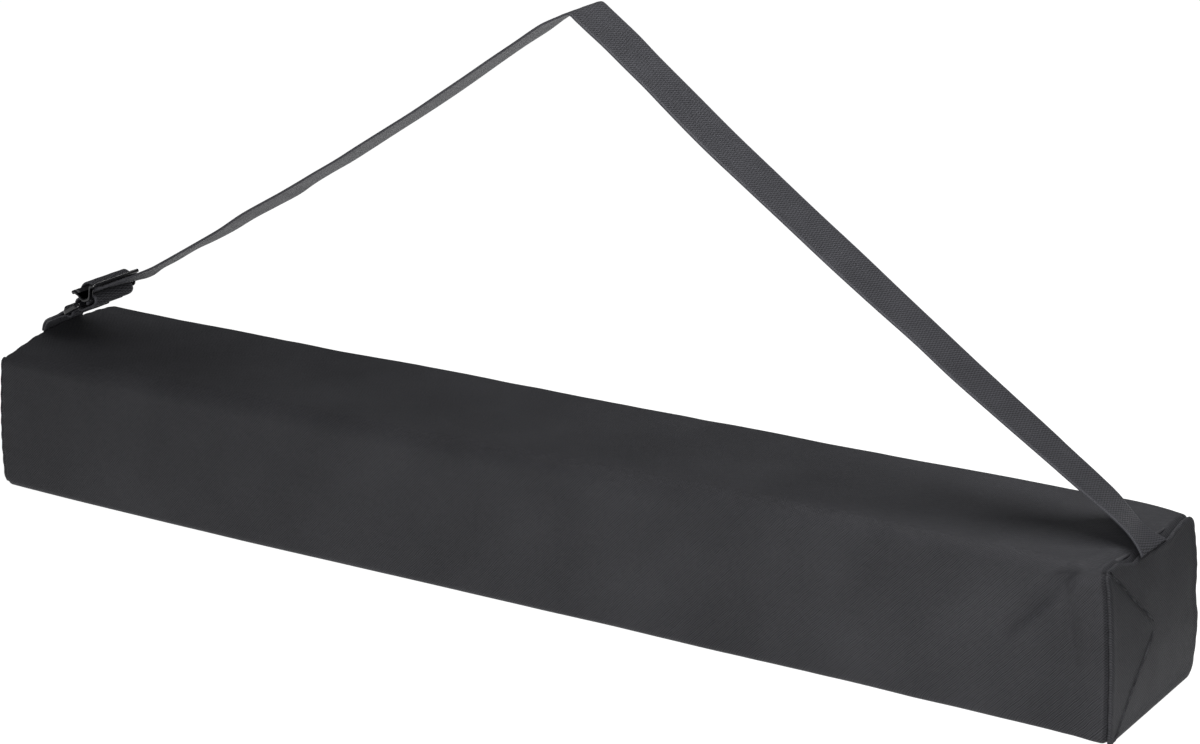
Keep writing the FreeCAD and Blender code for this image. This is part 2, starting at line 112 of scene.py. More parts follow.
def span(tree, value, low, high, from_low=0.0, from_high=1.0):
    """A value moved to a new range."""
    sockets = {"Value": value, "From Min": from_low, "From Max": from_high, "To Min": low, "To Max": high}
    return add(tree, "ShaderNodeMapRange", sockets).outputs["Result"]


def ridges(tree, place, pitch):
    """A wave from 0 to 1 with this pitch in metres."""
    return span(tree, ripple(tree, place, pitch), 0.0, 1.0, -1.0, 1.0)


def with_share(tree, value, share, other):
    """The other value with a share of this one added."""
    sockets = {0: value, 1: share, 2: other}
    return add(tree, "ShaderNodeMath", sockets, operation="MULTIPLY_ADD").outputs[0]


def colour_by(tree, shader, share, first, second):
    """The colour, between two sRGB hex colours by this share."""
    mixed = add(tree, "ShaderNodeMix", {"Factor": share}, data_type="RGBA")
    mixed.inputs["A"].default_value = linear(first)
    mixed.inputs["B"].default_value = linear(second)
    tree.links.new(mixed.outputs["Result"], shader.inputs["Base Color"])


def rough_by(tree, shader, value, low, high, from_low=0.0, from_high=1.0):
    """The roughness, from a value moved to this range."""
    tree.links.new(span(tree, value, low, high, from_low, from_high), shader.inputs["Roughness"])


def raise_by(tree, shader, height, depth, strength=1.0):
    """Bump from a height of 0 to 1 that stands for this depth in metres."""
    sockets = {"Height": height, "Distance": depth, "Strength": strength}
    bump = add(tree, "ShaderNodeBump", sockets)
    tree.links.new(bump.outputs[0], shader.inputs["Normal"])


def coated_oxford():
    """Polyester oxford cloth, basket woven, with a thin back coating.

    The yarns give it a diagonal grain and a soft sheen at a grazing angle. A real yarn is about
    0.5 mm wide. It is drawn at 1.3 mm, so that the weave shows from two metres away.
    """
    material, tree, shader = finish_of(
        "coated_oxford_woven", Roughness=0.62, IOR=1.5, Sheen_Weight=0.04, Sheen_Roughness=0.45
    )
    shader.inputs["Sheen Tint"].default_value = linear("#c9cbd2")
    shader.inputs["Specular IOR Level"].default_value = 0.12
    yarn = 1.3 * MM
    across, along, pattern = cloth_places(tree)
    drift = span(tree, blotches(tree, pattern, 9 * MM, 1.0), -0.8 * yarn, 0.8 * yarn)
    across = add(tree, "ShaderNodeMath", {0: across, 1: drift}).outputs[0]
    diagonal = add(tree, "ShaderNodeMath", {0: across, 1: along}).outputs[0]
    warp = ripple(tree, across, yarn)
    weft = ripple(tree, along, yarn)
    basket = add(tree, "ShaderNodeMath", {0: warp, 1: weft}, operation="MULTIPLY").outputs[0]
    twill = ripple(tree, diagonal, 1.4 * yarn)
    both = with_share(tree, twill, 0.5, basket)
    weave = span(tree, both, 0.0, 1.0, -1.3, 1.3)
    patches = blotches(tree, pattern, 70 * MM, 4.0)
    slub = blotches(tree, pattern, 3 * MM, 2.0)
    mottled = with_share(tree, patches, 0.6, weave)
    mottled = with_share(tree, slub, 0.3, mottled)
    share = span(tree, mottled, 0.0, 1.0, 0.35, 1.55)
    colour_by(tree, shader, share, "#111113", "#3d3d40")
    rough_by(tree, shader, weave, 0.72, 0.54)
    raise_by(tree, shader, weave, 0.2 * MM)
    return material


def ribbed_webbing(name, dark, light):
    """Polyester webbing, woven flat with ribs across and a smooth selvedge along each edge.

    Ribs every 1.7 mm and warp columns of 3.2 mm give the cross-ribbed look of bag strapping.
    """
    material, tree, shader = finish_of(
        name, Roughness=0.66, IOR=1.52, Sheen_Weight=0.06, Sheen_Roughness=0.4
    )
    shader.inputs["Sheen Tint"].default_value = linear("#d5d7de")
    shader.inputs["Specular IOR Level"].default_value = 0.08
    rib, column, half, selvedge = 1.7 * MM, 3.2 * MM, 19 * MM, 1.9 * MM
    across, along, pattern = cloth_places(tree)
    slant = with_share(tree, across, 0.22, along)
    swing = span(tree, ripple(tree, across, column), -0.16 * rib, 0.16 * rib, -1.0, 1.0)
    wavy = add(tree, "ShaderNodeMath", {0: slant, 1: swing}).outputs[0]
    ribs = ridges(tree, wavy, rib)
    columns = ridges(tree, across, column / 2)
    face = with_share(tree, columns, 0.3, ribs)
    aside = add(tree, "ShaderNodeMath", {0: across}, operation="ABSOLUTE").outputs[0]
    edge = span(tree, aside, 0.0, 1.0, half - selvedge, half - 0.6 * selvedge)
    edge_ribs = span(tree, ripple(tree, along, 0.7 * rib), 0.55, 0.95, -1.0, 1.0)
    kept = add(tree, "ShaderNodeMix", {"Factor": edge, "A": face, "B": edge_ribs}, data_type="FLOAT")
    height = kept.outputs["Result"]
    patches = blotches(tree, pattern, 26 * MM)
    mottled = with_share(tree, patches, 0.5, height)
    mottled = with_share(tree, edge, 0.35, mottled)
    share = span(tree, mottled, 0.0, 1.0, 0.2, 1.7)
    colour_by(tree, shader, share, dark, light)
    rough_by(tree, shader, height, 0.62, 0.42)
    raise_by(tree, shader, height, 0.22 * MM, 0.9)
    return material


def folded_binding():
    """Polypropylene binding tape, woven and folded: fine cross ribs, a little waxy."""
    material, tree, shader = finish_of("binding_tape_woven", Roughness=0.48, IOR=1.49)
    along, pattern = cloth_places(tree)[1:]
    ribs = ridges(tree, along, 1.1 * MM)
    worn = blotches(tree, pattern, 12 * MM)
    share = with_share(tree, worn, 0.6, ribs)
    share = span(tree, share, 0.0, 1.0, 0.2, 1.4)
    colour_by(tree, shader, share, "#1c1c1e", "#323236")
    raise_by(tree, shader, ribs, 0.12 * MM)
    return material


def herringbone_tape():
    """Polyester zip tape, woven in a fine herringbone that breaks every 2 mm: dull, even black."""
    material, tree, shader = finish_of("zip_tape_woven", Roughness=0.66, IOR=1.5, Sheen_Weight=0.15)
    pitch, break_width = 0.9 * MM, 2.0 * MM
    across, along, pattern = cloth_places(tree)
    zigzag = add(tree, "ShaderNodeMath", {0: across, 1: break_width}, operation="PINGPONG").outputs[0]
    lean = add(tree, "ShaderNodeMath", {0: along, 1: zigzag}).outputs[0]
    ribs = ridges(tree, lean, pitch)
    worn = blotches(tree, pattern, 8 * MM)
    share = with_share(tree, worn, 0.5, ribs)
    share = span(tree, share, 0.0, 1.0, 0.2, 1.4)
    colour_by(tree, shader, share, "#161618", "#2e2e31")
    raise_by(tree, shader, ribs, 0.1 * MM)
    return material


def extruded_nylon():
    """Nylon monofilament, extruded and coiled: black with a clean narrow gloss on each turn."""
    material, tree, shader = finish_of("nylon_coil_extruded", Roughness=0.32, IOR=1.53)
    place = add(tree, "ShaderNodeTexCoord").outputs["Object"]
    share = blotches(tree, place, 4 * MM)
    colour_by(tree, shader, share, "#17171a", "#262629")
    rough_by(tree, shader, share, 0.26, 0.42)
    raise_by(tree, shader, blotches(tree, place, 0.6 * MM), 0.02 * MM)
    return material


def plated_zinc():
    """Zinc alloy, die cast and black-nickel plated: dark mirror, softened by tumbling marks."""
    material, tree, shader = finish_of("zinc_black_nickel_plated", Metallic=1.0, Roughness=0.26)
    place = add(tree, "ShaderNodeTexCoord").outputs["Object"]
    rubbed = blotches(tree, place, 2.5 * MM, 4.0)
    colour_by(tree, shader, rubbed, "#4a4a4e", "#77777c")
    rough_by(tree, shader, rubbed, 0.18, 0.36)
    raise_by(tree, shader, blotches(tree, place, 0.5 * MM), 0.02 * MM)
    return material


def twisted_thread():
    """Polyester sewing thread, three plies twisted: slanting plies that catch small lights."""
    material, tree, shader = finish_of("thread_twisted", Roughness=0.45, IOR=1.53, Sheen_Weight=0.3)
    place = add(tree, "ShaderNodeTexCoord").outputs["Object"]
    parts = add(tree, "ShaderNodeSeparateXYZ", {0: place})
    lean = add(tree, "ShaderNodeMath", {0: parts.outputs[0], 1: parts.outputs[2]}).outputs[0]
    plies = ridges(tree, lean, 0.8 * MM)
    colour_by(tree, shader, plies, "#202022", "#3c3c40")
    raise_by(tree, shader, plies, 0.06 * MM)
    return material


def moulded_acetal():
    """Acetal, injection moulded in a polished tool: near-black with a sharp wet gloss.

    Handling leaves faint scuffs, a few millimetres long, which only the roughness shows.
    """
    material, tree, shader = finish_of("acetal_moulded", Roughness=0.14, IOR=1.48)
    place = add(tree, "ShaderNodeTexCoord").outputs["Object"]
    scuffs = blotches(tree, place, 3 * MM, 5.0)
    colour_by(tree, shader, scuffs, "#0f0f11", "#1a1a1c")
    rough_by(tree, shader, scuffs, 0.08, 0.26, 0.3, 0.75)
    raise_by(tree, shader, blotches(tree, place, 7 * MM, 1.0), 0.06 * MM)
    return material


FINISHES = {
    "oxford_cloth": coated_oxford(),
    "webbing": ribbed_webbing("webbing_woven", "#19191b", "#424246"),
    "binding_tape": folded_binding(),
    "zip_tape": herringbone_tape(),
    "nylon_coil": extruded_nylon(),
    "zip_metal": plated_zinc(),
    "thread": twisted_thread(),
    "acetal": moulded_acetal(),
}


# Making meshes


def piece(name, mesh, slot, body=None, stands_for=()):
    """A finished mesh as a piece of the object, in its slot's finish, on its body, for its nodes."""
    made = bpy.data.objects.new(name, mesh)
    bpy.context.scene.collection.objects.link(made)
    mesh.materials.clear()
    mesh.materials.append(FINISHES[slot])
    mesh.polygons.foreach_set("use_smooth", [True] * len(mesh.polygons))
    if stands_for:
        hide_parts(*stands_for)
    if body:
        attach(made, body)
    return made


def mesh_of(name, points, faces, cut=None):
    """A mesh from points and faces. cut is each point's place in the flat cut pattern."""
    mesh = bpy.data.meshes.new(name)
    mesh.from_pydata([tuple(p) for p in points], [], faces)
    if cut is not None:
        layer = mesh.uv_layers.new(name="cut")
        corners = np.zeros(len(mesh.loops), dtype=np.int64)
        mesh.loops.foreach_get("vertex_index", corners)
        layer.data.foreach_set("uv", np.asarray(cut, float)[corners].ravel())
    mesh.update()
    return mesh


def face_out(mesh):
    """Turns a mesh's faces the same way, outward on a closed one, and drops loose points."""
    clean = bmesh.new()
    clean.from_mesh(mesh)
    loose = [v for v in clean.verts if not v.link_faces]
    bmesh.ops.delete(clean, geom=loose, context="VERTS")
    bmesh.ops.recalc_face_normals(clean, faces=clean.faces)
    clean.to_mesh(mesh)
    clean.free()


def sheet_faces(rows, columns, closed=False, skip=None):
    """Quads of a grid of points in rows. A closed one joins its last column to its first."""
    faces = []
    for i in range(rows - 1):
        for j in range(columns if closed else columns - 1):
            if skip is not None and skip(i, j):
                continue
            k = (j + 1) % columns
            faces.append((i * columns + j, i * columns + k, (i + 1) * columns + k, (i + 1) * columns + j))
    return faces


def joined(name, meshes):
    """Several meshes as one."""
    whole = bmesh.new()
    for mesh in meshes:
        whole.from_mesh(mesh)
    mesh = bpy.data.meshes.new(name)
    whole.to_mesh(mesh)
    whole.free()
    return mesh


def smooth_line(controls, step):
    """Points at most a step apart on a smooth line through rows of controls."""
    controls = np.array([(*row, 0.0, 0.0)[:4] for row in controls])
    gaps = np.linalg.norm(np.diff(controls[:, :2], axis=0), axis=1)
    at = np.concatenate([[0], np.cumsum(gaps)])
    slopes = np.gradient(controls, at, axis=0)
    found = []
    for k, gap in enumerate(gaps):
        count = max(3, int(math.ceil(gap / step)))
        t = (np.arange(count) / count)[:, None]
        start = (2 * t**3 - 3 * t**2 + 1) * controls[k] + (t**3 - 2 * t**2 + t) * gap * slopes[k]
        end = (3 * t**2 - 2 * t**3) * controls[k + 1] + (t**3 - t**2) * gap * slopes[k + 1]
        found.append(start + end)
    found.append(controls[-1:])
    return np.concatenate(found)


WEBBING_HALF = 19 * MM
WEBBING_WALL = 1.4 * MM
BAG_MIDDLE = (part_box("body_wrap")[0][1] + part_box("body_wrap")[1][1]) / 2


def webbing_strip(name, controls, step=2.5 * MM, start_along=0.0):
    """A length of webbing through controls of x, z, roll and how far it is drawn to the back.

    roll is in degrees. Where the line runs to the left, plus turns the near edge up.
    """
    line = smooth_line(controls, step)
    spots = np.stack([line[:, 0], BAG_MIDDLE + line[:, 3], line[:, 1]], axis=1)
    ahead = np.gradient(spots, axis=0)
    ahead /= np.linalg.norm(ahead, axis=1)[:, None]
    level = np.array([0.0, 1.0, 0.0])
    up = np.cross(level, ahead)
    up /= np.linalg.norm(up, axis=1)[:, None]
    roll = np.radians(line[:, 2])[:, None]
    wide = level * np.cos(roll) - up * np.sin(roll)
    up = up * np.cos(roll) + level * np.sin(roll)
    gaps = np.linalg.norm(np.diff(spots, axis=0), axis=1)
    along = start_along + np.concatenate([[0], np.cumsum(gaps)])
    lanes = np.linspace(-1, 1, 15) * (WEBBING_HALF - 0.5 * MM)
    swell = WEBBING_WALL / 2 * (1 - 0.06 * np.cos(lanes / (3.2 * MM) * 2 * math.pi))
    shoulder = WEBBING_HALF - 0.1 * MM
    selvedge = [(shoulder, 0.45 * MM), (WEBBING_HALF, 0.0), (shoulder, -0.45 * MM)]
    near_half = np.array([*zip(lanes, swell), *selvedge])
    ring = np.concatenate([near_half, -near_half])
    points = spots[:, None] + wide[:, None] * ring[:, :1] + up[:, None] * ring[:, 1:]
    cut = np.stack([np.tile(ring[:, 0], len(spots)), np.repeat(along, len(ring))], axis=1)
    count = len(ring)
    faces = sheet_faces(len(spots), count, closed=True)
    faces.append(tuple(range(count)))
    faces.append(tuple((len(spots) - 1) * count + j for j in reversed(range(count))))
    mesh = mesh_of(name, points.reshape(-1, 3), faces, cut)
    face_out(mesh)
    return mesh, along[-1]


def tube(name, spots, radius, sides=6):
    """A round wire through these points."""
    spots = np.asarray(spots, float)
    ahead = np.gradient(spots, axis=0)
    ahead /= np.linalg.norm(ahead, axis=1)[:, None]
    side = np.array([0.12, 0.34, 0.93])
    points = []
    for spot, direction in zip(spots, ahead):
        side = side - direction * side.dot(direction)
        side = side / np.linalg.norm(side)
        other = np.cross(direction, side)
        for k in range(sides):
            angle = 2 * math.pi * k / sides
            points.append(spot + radius * (math.cos(angle) * side + math.sin(angle) * other))
    faces = sheet_faces(len(spots), sides, closed=True)
    last = (len(spots) - 1) * sides
    faces.append(tuple(reversed(range(sides))))
    faces.append(tuple(last + j for j in range(sides)))
    return mesh_of(name, points, faces)


def plate(name, outlines, wall, soften, bend=None):
    """A flat plate with softened edges from closed outlines in XY, the first with the rest cut out.

    bend moves its points, and is given them as an array.
    """
    curve = bpy.data.curves.new(name, "CURVE")
    curve.dimensions = "2D"
    curve.fill_mode = "BOTH"
    curve.extrude = wall / 2 - soften
    curve.bevel_depth = soften
    curve.bevel_resolution = 3
    curve.offset = -soften
    for outline in outlines:
        spline = curve.splines.new("POLY")
        spline.points.add(len(outline) - 1)
        for point, (x, y) in zip(spline.points, outline):
            point.co = (x, y, 0, 1)
        spline.use_cyclic_u = True
    holder = bpy.data.objects.new(name + "_outline", curve)
    bpy.context.scene.collection.objects.link(holder)
    mesh = bpy.data.meshes.new_from_object(holder.evaluated_get(bpy.context.evaluated_depsgraph_get()))
    bpy.data.objects.remove(holder)
    bpy.data.curves.remove(curve)
    if bend is not None:
        points = np.zeros(len(mesh.vertices) * 3)
        mesh.vertices.foreach_get("co", points)
        mesh.vertices.foreach_set("co", bend(points.reshape(-1, 3)).ravel())
    mesh.update()
    return mesh


def rounded_outline(width, height, radius, step):
    """A rounded rectangle as closely spaced points."""
    found = []
    for quarter in range(4):
        start = math.pi / 2 * quarter
        sign_x = 1 if quarter in (0, 3) else -1
        sign_y = 1 if quarter in (0, 1) else -1
        centre = np.array([sign_x * (width / 2 - radius), sign_y * (height / 2 - radius)])
        for k in range(7):
            angle = start + math.pi / 2 * k / 6
            found.append(centre + radius * np.array([math.cos(angle), math.sin(angle)]))
    filled = []
    for a, b in zip(found, found[1:] + found[:1]):
        count = max(1, int(np.linalg.norm(b - a) / step))
        filled += [a + (b - a) * k / count for k in range(count)]
    return [tuple(p) for p in filled]


def placed(mesh, origin, x_axis, y_axis, z_axis):
    """Moves a mesh made about the origin to a place with these axes."""
    turn = Matrix((x_axis, y_axis, z_axis)).transposed().to_4x4()
    mesh.transform(Matrix.Translation(origin) @ turn)
    return mesh


def placed_on_slope(mesh, place, slope):
    """Moves a mesh to a place (x, z) in the bag's middle plane, its X axis up this slope."""
    x_axis = (math.cos(slope), 0, math.sin(slope))
    z_axis = (-math.sin(slope), 0, math.cos(slope))
    return placed(mesh, (place[0], BAG_MIDDLE, place[1]), x_axis, (0, 1, 0), z_axis)


# The cloth bag


LOW, HIGH = (np.array(corner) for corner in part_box("body_wrap"))
HALF_LONG = HIGH[0]
FRONT, BACK = LOW[1], HIGH[1]
HALF_DEEP = (BACK - FRONT) / 2
TOP = HIGH[2]
MID_HEIGHT = TOP / 2
SEAM_GROOVE = 1.6 * MM
# how round the wrap's edges are, in millimetres: back top, front top, front foot, back foot
MIDDLE_EDGES = (4, 12, 5, 8)
LEFT_EDGES = (4, 8, 8, 8)
RIGHT_EDGES = (11, 3.5, 1.5, 11)
SLOT_HALF_HEIGHT = 7 * MM
SLOT_HALF_LENGTH = 390 * MM
SHELL_WALL = 0.8 * MM


def section_columns(edges):
    """The bag's section from the slot's upper edge over the top, front and bottom to it again.

    Each column is a place (y, z), the way out of the cloth there, and the length round so far.
    """
    back_top, front_top, front_low, back_low = radii = [edge * MM for edge in edges]
    straight = [
        ((BACK, MID_HEIGHT + SLOT_HALF_HEIGHT), (BACK, TOP - back_top), 14),
        ((BACK - back_top, TOP), (FRONT + front_top, TOP), 36),
        ((FRONT, TOP - front_top), (FRONT, front_low), 32),
        ((FRONT + front_low, 0.0), (BACK - back_low, 0.0), 28),
        ((BACK, back_low), (BACK, MID_HEIGHT - SLOT_HALF_HEIGHT), 12),
        ((BACK, MID_HEIGHT - SLOT_HALF_HEIGHT), (BACK, MID_HEIGHT + SLOT_HALF_HEIGHT), 5),
    ]
    outward = [(1, 0), (0, 1), (-1, 0), (0, -1), (1, 0), (1, 0)]
    corner_centres = [
        (BACK - back_top, TOP - back_top),
        (FRONT + front_top, TOP - front_top),
        (FRONT + front_low, front_low),
        (BACK - back_low, back_low),
    ]
    places, ways = [], []
    for k, ((start, end, count), way) in enumerate(zip(straight, outward)):
        for t in np.arange(count) / count:
            places.append(np.array(start) + (np.array(end) - np.array(start)) * t)
            ways.append(np.array(way, float))
        if k < 4:
            for t in np.arange(8) / 8:
                angle = math.pi / 2 * (k + t)
                way = np.array([math.cos(angle), math.sin(angle)])
                places.append(np.array(corner_centres[k]) + radii[k] * way)
                ways.append(way)
    places, ways = np.array(places), np.array(ways)
    round_it = np.concatenate([[0], np.cumsum(np.linalg.norm(np.diff(places, axis=0), axis=1))])
    slot_columns = 5
    return places, ways, round_it, len(places) - slot_columns


PLACES, WAYS, ROUND_IT, SLOT_COLUMN = section_columns(MIDDLE_EDGES)
END_PLACES = {"left": section_columns(LEFT_EDGES)[0], "right": section_columns(RIGHT_EDGES)[0]}


def bell(value, middle, width):
    """1 at the middle, and fading to nothing to each side of it."""
    return np.exp(-(((value - middle) / width) ** 2))


def crease(u, v, start, end, width, depth, ridge=0.55):
    """A soft fold from start to end, in millimetres: a valley with a ridge beside it, on its left."""
    start, end = np.array(start) * MM, np.array(end) * MM
    width, depth = width * MM, depth * MM
    length = np.linalg.norm(end - start)
    way = (end - start) / length
    along = (u - start[0]) * way[0] + (v - start[1]) * way[1]
    aside = -(u - start[0]) * way[1] + (v - start[1]) * way[0]
    beyond = np.maximum(0, np.maximum(-along, along - length))
    fade = np.exp(-((beyond / (2.5 * width)) ** 2))
    return depth * fade * (ridge * bell(aside, 1.9 * width, 1.2 * width) - bell(aside, 0, width))


def clouds(x, y, z, size, seed):
    """Smooth random heights from -1 to 1 in patches of this size."""
    return np.array(
        [
            noise.noise((a / size + seed, b / size - seed, c / size + 0.5 * seed))
            for a, b, c in zip(x.ravel(), y.ravel(), z.ravel())
        ]
    ).reshape(x.shape)


# folds of the front by the strap's sewn end: start and end as (x, z), width and depth, in millimetres
FRONT_FOLDS = [
    ((398, 106), (352, 60), 4.6, 3.6),
    ((383, 86), (388, 50), 4.0, 1.6),
    ((405, 97), (380, 90), 3.2, 1.6),
    ((330, 92), (300, 66), 7.0, 0.9),
]


def cloth_out(x, y, z, way_y, way_z, round_it):
    """How far the cloth stands out of the bag's plain faces."""
    front, back = np.maximum(0, -way_y) ** 2, np.maximum(0, way_y) ** 2
    top, under = np.maximum(0, way_z) ** 2, np.maximum(0, -way_z) ** 2
    from_end = HALF_LONG - np.abs(x)
    ends_free = 1 - np.exp(-from_end / (60 * MM))
    up_face = 1 - ((z - MID_HEIGHT) / MID_HEIGHT) ** 2
    over_top = 1 - ((y - BAG_MIDDLE) / HALF_DEEP) ** 2
    out = front * up_face * 1.3 * MM
    out -= top * over_top * ends_free * 1.8 * MM
    out += back * np.abs(np.sin(2 * math.pi * z / TOP)) * 1.4 * MM
    out -= back * bell(z, MID_HEIGHT, 9 * MM) * 1.3 * MM
    out += (1 - under) * clouds(x, y, z, 120 * MM, 3.1) * 1.5 * MM
    out += (1 - under) * clouds(x, y, z, 42 * MM, 7.7) * 0.55 * MM
    out += (1 - under) * clouds(x, y, z, 16 * MM, 1.3) * 0.16 * MM
    near_right = np.where(x > 0, 1.0, 0.0)
    # the foot of the front is drawn under at the left and spreads towards the right
    spread = np.interp(x, [-0.41, -0.25, 0.0, 0.3], [-2.0, -1.5, 0.8, 4.6]) * MM
    out += front * spread * np.exp(-z / (24 * MM))
    # the left end's foot stands a little clear of the floor
    out -= under * np.interp(x, [-0.41, -0.2], [2.0, 0.0]) * MM
    for start, end, width, depth in FRONT_FOLDS:
        out += front * crease(x, z, start, end, width, depth)
    # the long front fold goes on over the top edge to the strap's near side
    out += top * crease(x, y, (396, -60), (405, -29), 4.2, 3.0, 0.3)
    out += top * near_right * 3.2 * MM * bell(x, 381 * MM, 19 * MM) * bell(y, 16 * MM, 25 * MM)
    out += top * near_right * 2.0 * MM * bell(x, 405 * MM, 6 * MM) * bell(y, -45 * MM, 9 * MM)
    # the seam hangs lower where the strap is sewn in, most under its far edge
    reach = np.where(y > 16 * MM, 15 * MM, 44 * MM)
    out -= top * near_right * 6.0 * MM * bell(y, 16 * MM, reach) * np.exp(-from_end / (9 * MM))
    # the back top edge falls a little from left to right
    fall = np.interp(x, [-0.41, -0.1, 0.1, 0.41], [3.4, 1.4, -0.8, -1.8]) * MM
    out += top * fall * bell(y, BACK, 60 * MM)
    # the tab draws the left seam up behind it and leaves the front corner low
    drawn = np.interp(y, [-0.06, -0.048, -0.023, -0.003, 0.037, 0.054], [-6.0, -2.6, 3.8, 5.0, 3.0, 0.8])
    out += top * (1 - near_right) * drawn * MM * np.exp(-from_end / (26 * MM))
    # the seam rolls the cloth in, with small puckers
    pucker = np.sin(round_it / (10.5 * MM) * 2 * math.pi + 3 * np.sin(round_it / (37 * MM)))
    from_groove = from_end - SEAM_GROOVE
    out -= (1 - 0.4 * under) * np.exp(-((from_groove / (1.2 * MM)) ** 2)) * 3.0 * MM
    out += (1 - under) * pucker * 0.28 * MM * np.exp(-from_groove / (6 * MM))
    return out


def lean_out(x, y, z):
    """How far the cloth by an end stands out along X: the head of both ends is drawn in."""
    left = 2.2 * MM - 7.6 * MM * (1 - (np.clip(z, 0, TOP) / TOP) ** 1.5)
    left = left * np.exp(-(x + HALF_LONG) / (30 * MM))
    right = np.interp(z, [0, 0.04, 0.07, 0.09, 0.1], [3.4, 2.0, 0.4, -1.6, -3.0]) * MM
    behind = np.interp(y, [FRONT, BACK], [0.0, 1.0])
    right = np.where(right > 0, right * (1 - behind * np.interp(z, [0.01, 0.035], [0.85, 0.1])), right)
    right = right * np.exp(-(HALF_LONG - x) / (30 * MM))
    return np.where(x < 0, left, right)


def end_rows():
    """Places along X, close together by the end seams and by the folds."""
    seam = np.arange(8) * 0.5 * MM
    left = np.arange(-HALF_LONG + 6 * MM, -HALF_LONG + 30 * MM, 1.5 * MM)
    middle = np.arange(left[-1] + 3.2 * MM, 320 * MM, 3.6 * MM)
    right = np.arange(middle[-1] + 1.8 * MM, HALF_LONG - 6 * MM, 1.6 * MM)
    ends = HALF_LONG - SEAM_GROOVE - seam
    rows = np.concatenate([-ends, left, middle, right, ends[::-1]])
    for slot_end in (-SLOT_HALF_LENGTH, SLOT_HALF_LENGTH):
        rows[np.argmin(np.abs(rows - slot_end))] = slot_end
    return rows


def wrap_points(rows):
    """The wrap's points for these places along X, a row for each."""
    x = np.repeat(rows[:, None], len(PLACES), axis=1)
    places = PLACES[None]
    for side, from_side in (("left", rows + HALF_LONG), ("right", HALF_LONG - rows)):
        share = np.exp(-from_side / (30 * MM))[:, None, None]
        places = places + share * (END_PLACES[side] - PLACES)[None]
    y, z = places[..., 0], places[..., 1]
    way_y, way_z = WAYS[:, 0], WAYS[:, 1]
    out = cloth_out(x, y, z, way_y, way_z, ROUND_IT)
    z = np.maximum(z + way_z * out, 0.0)
    return x + lean_out(x, y, z), y + way_y * out, z


def make_wrap():
    """The panel that makes the front, top, bottom and back, with a slot for the zip."""
    rows = end_rows()
    x, y, z = wrap_points(rows)
    points = np.stack([x, y, z], axis=-1).reshape(-1, 3)
    cut = np.stack([x, np.broadcast_to(ROUND_IT, x.shape)], axis=-1).reshape(-1, 2)

    def in_slot(i, j):
        inside = max(abs(rows[i]), abs(rows[i + 1])) <= SLOT_HALF_LENGTH + 1e-6
        return inside and j >= SLOT_COLUMN

    faces = sheet_faces(len(rows), len(PLACES), closed=True, skip=in_slot)
    mesh = mesh_of("bag_wrap", points, faces, cut)
    wrap = piece("bag_wrap", mesh, "oxford_cloth", "bag", ["body_wrap"])
    face_out(mesh)
    thicken(wrap, SHELL_WALL)
    return points.reshape(len(rows), len(PLACES), 3)


def thicken(made, wall):
    """Gives a single layer its wall, on the inner side."""
    wall_modifier = made.modifiers.new("wall", "SOLIDIFY")
    wall_modifier.thickness = wall
    wall_modifier.offset = -1.0
    wall_modifier.use_even_offset = False


def make_end_panel(side, rim):
    """An end panel: its rim sunk in the seam's groove, its face flat and a little proud."""
    sign = 1 if side == "right" else -1
    centre = np.array([BAG_MIDDLE, MID_HEIGHT])
    rim = rim[:, 1:]
    # share of the way out to the rim, and how far out along X in millimetres
    profile = [(1.0, -1.6), (1.018, -1.3), (1.032, -0.7), (1.038, 0.1), (1.033, 0.8), (1.018, 1.2)]
    profile += [(0.995, 1.4), (0.965, 1.3), (0.93, 1.1), (0.89, 1.1), (0.84, 1.1), (0.78, 1.1)]
    profile += [(share, 1.1) for share in (0.71, 0.63, 0.55, 0.46, 0.37, 0.28, 0.19, 0.1)]
    if side == "left":
        # this seam is rolled in, and does not stand out past the front
        profile = [(1 + (share - 1) * 0.15 if share > 1 else share, stand) for share, stand in profile]
    points, cut = [], []
    for share, stand in profile:
        spots = centre + (rim - centre) * share
        inward = max(0.0, 1 - share) * HALF_DEEP
        y, z = spots[:, 0], spots[:, 1]
        still = np.full(len(spots), sign * HALF_LONG)
        away = 1 - np.exp(-inward / (5 * MM))
        out = stand * MM + away * clouds(still, y, z, 45 * MM, 2.9 + sign) * 0.8 * MM
        out = out + away * clouds(still, y, z, 18 * MM, 4.4 + sign) * 0.25 * MM
        spots_x = sign * (HALF_LONG + out) + lean_out(still, y, z)
        points.append(np.stack([spots_x, y, z], axis=1))
        cut.append(np.stack([y, z], axis=1))
    count = len(rim)
    middle_x = sign * (HALF_LONG + 1.1 * MM) + float(lean_out(sign * HALF_LONG, BAG_MIDDLE, MID_HEIGHT))
    points.append(np.array([[middle_x, *centre]]))
    cut.append(centre[None, :])
    faces = sheet_faces(len(profile), count, closed=True)
    last = (len(profile) - 1) * count
    faces += [(last + j, last + (j + 1) % count, len(profile) * count) for j in range(count)]
    name = "end_panel_cloth_" + side
    mesh = mesh_of(name, np.concatenate(points), faces, np.concatenate(cut))
    panel = piece(name, mesh, "oxford_cloth", "bag", ["end_panel_" + side])
    face_out(mesh)
    if sum(face.normal.x for face in mesh.polygons) * sign < 0:
        mesh.flip_normals()
    thicken(panel, SHELL_WALL)


